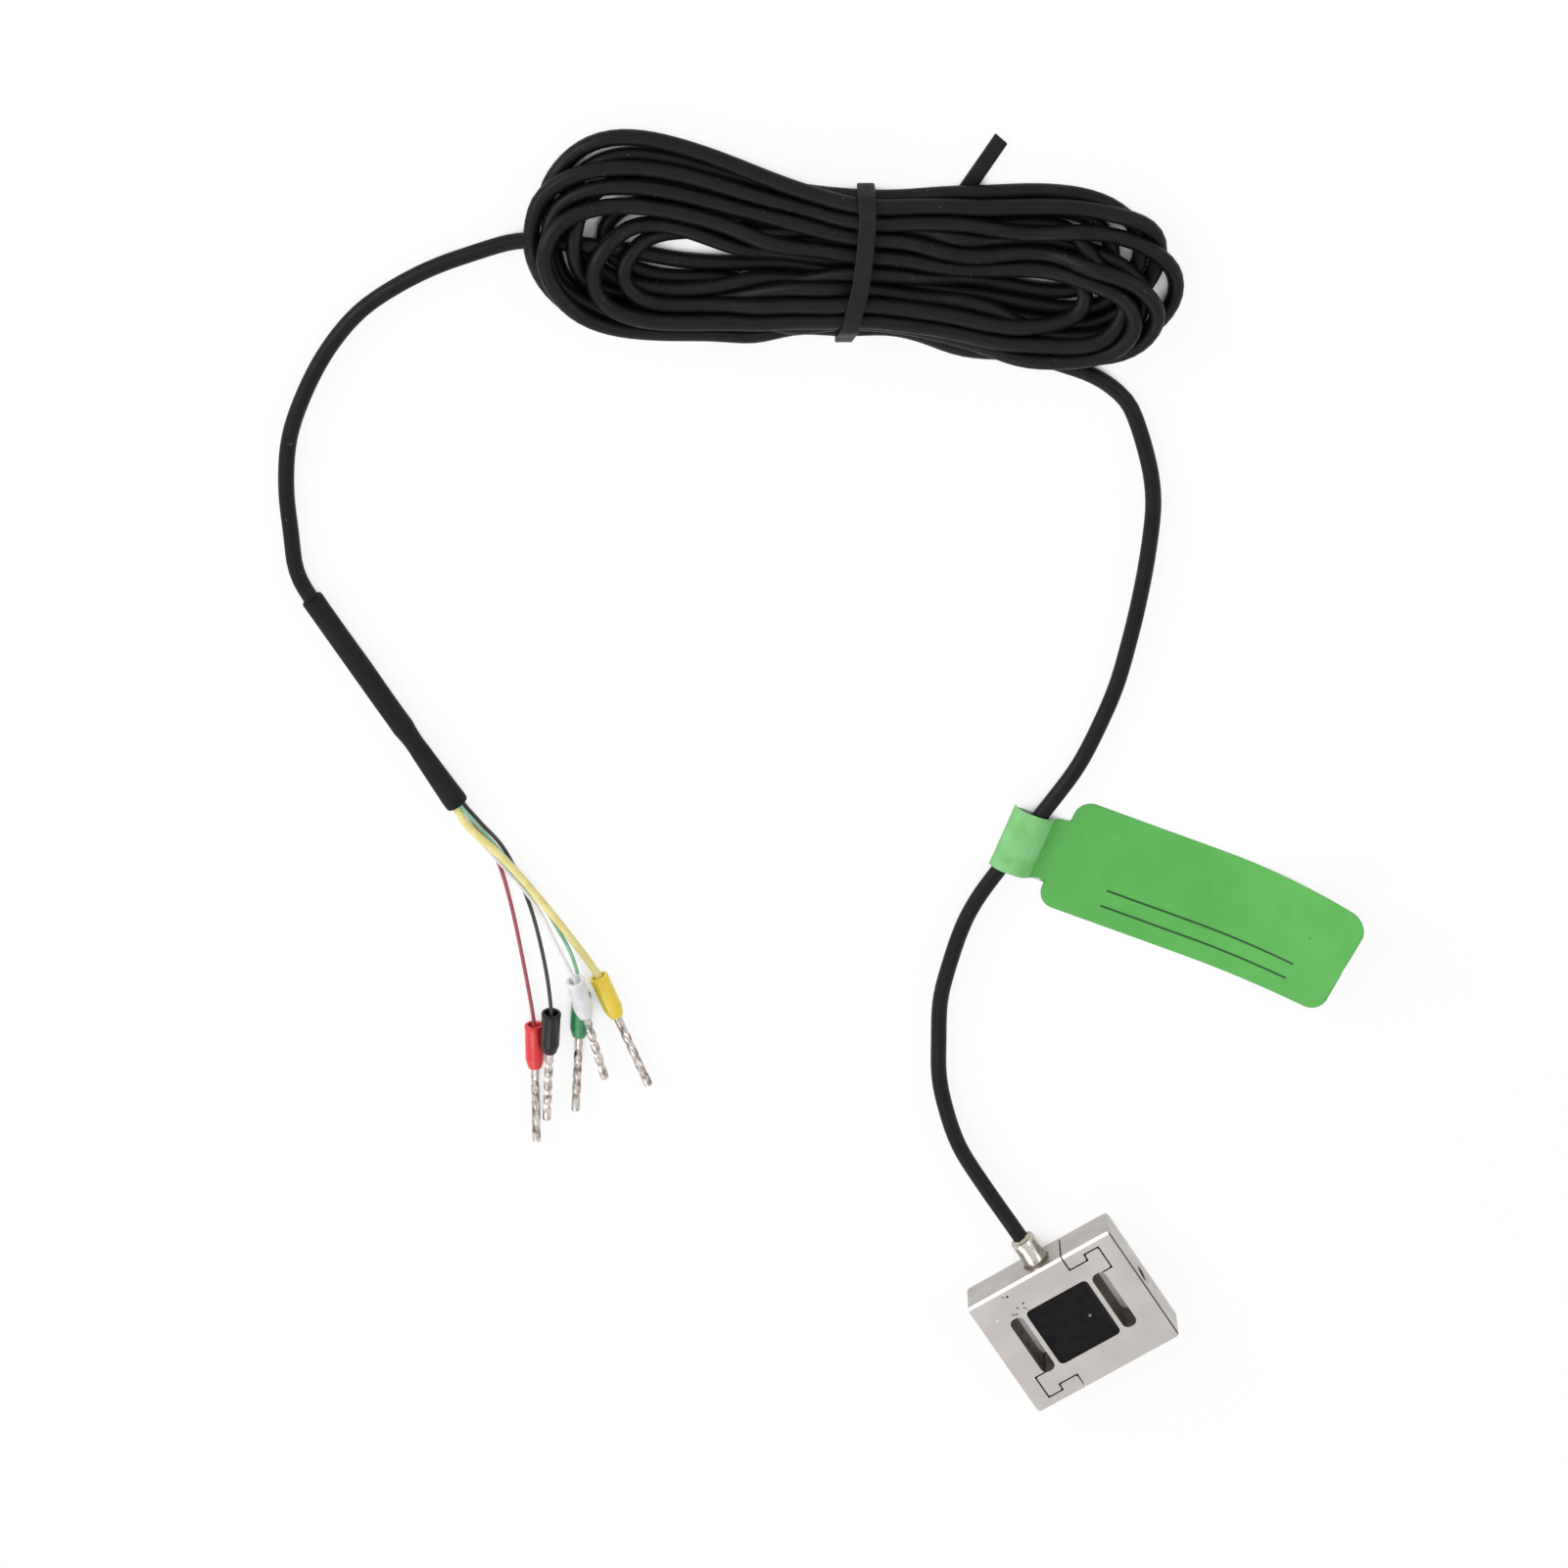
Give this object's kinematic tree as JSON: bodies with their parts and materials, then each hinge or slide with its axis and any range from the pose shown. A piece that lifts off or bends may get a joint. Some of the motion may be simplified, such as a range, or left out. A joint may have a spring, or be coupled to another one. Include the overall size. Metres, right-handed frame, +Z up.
{
  "type": "s-type load cell",
  "caption": "Miniature S-type load cell with a threaded hole at each end, its thin signal cable wound in a tied hank, ferruled wire ends and a flag label.",
  "frame": {"origin": "centre of the body's underside, with the body lying flat as in the picture", "axes": "+X along the loading axis, +Y towards the cable's exit, +Z up through the thickness"},
  "size_m": [0.1325, 0.1769, 0.007],
  "materials": {
    "body_steel": "fine ground and lapped stainless steel, satin",
    "potting_black": "black silicone compound, slightly glossy",
    "gauge_polyimide": "amber polyimide backing with a foil grid",
    "board_laminate": "green epoxy laminate with tinned pads",
    "chip_ceramic": "black chip with tinned caps",
    "core_insulation": "extruded core insulation",
    "enamelled_copper": "enamelled copper wire",
    "gland_nickel": "turned nickel-plated sleeve",
    "bead_adhesive": "dark cured adhesive",
    "glue_clear": "clear amber cured adhesive",
    "cable_jacket": "extruded dark grey jacket, satin",
    "shrink_sleeve": "shrunk polyolefin sleeve",
    "tie_band": "black coated flat tie",
    "label_film": "green self-adhesive film, bare",
    "pin_tin": "tin-plated copper sleeve, crimped",
    "insulation_red": "extruded red insulation",
    "insulation_black": "extruded black insulation",
    "insulation_green": "extruded green insulation",
    "insulation_white": "extruded white insulation",
    "insulation_yellow": "extruded yellow insulation",
    "collar_red": "moulded red collar",
    "collar_black": "moulded black collar",
    "collar_green": "moulded green collar",
    "collar_white": "moulded white collar",
    "collar_yellow": "moulded yellow collar"
  },
  "bodies": {
    "root": {"sensor_body": "body_steel", "window_potting": "potting_black", "strain_gauge_1": "gauge_polyimide", "strain_gauge_2": "gauge_polyimide", "strain_gauge_3": "gauge_polyimide", "strain_gauge_4": "gauge_polyimide", "terminal_board": "board_laminate", "trim_resistor": "chip_ceramic", "cable_cores": "core_insulation", "bridge_wires": "enamelled_copper", "cable_gland": "gland_nickel", "gland_bead": "bead_adhesive", "exit_glue": "glue_clear", "cable_lead": "cable_jacket", "cable_hank": "cable_jacket", "cable_tail": "cable_jacket", "heat_shrink": "shrink_sleeve", "wire_red": "insulation_red", "wire_black": "insulation_black", "wire_green": "insulation_green", "wire_white": "insulation_white", "wire_yellow": "insulation_yellow", "collar_red": "collar_red", "collar_black": "collar_black", "collar_green": "collar_green", "collar_white": "collar_white", "collar_yellow": "collar_yellow", "pin_red": "pin_tin", "pin_black": "pin_tin", "pin_green": "pin_tin", "pin_white": "pin_tin", "pin_yellow": "pin_tin", "hank_tie": "tie_band", "cable_label": "label_film"}
  },
  "joints": []
}
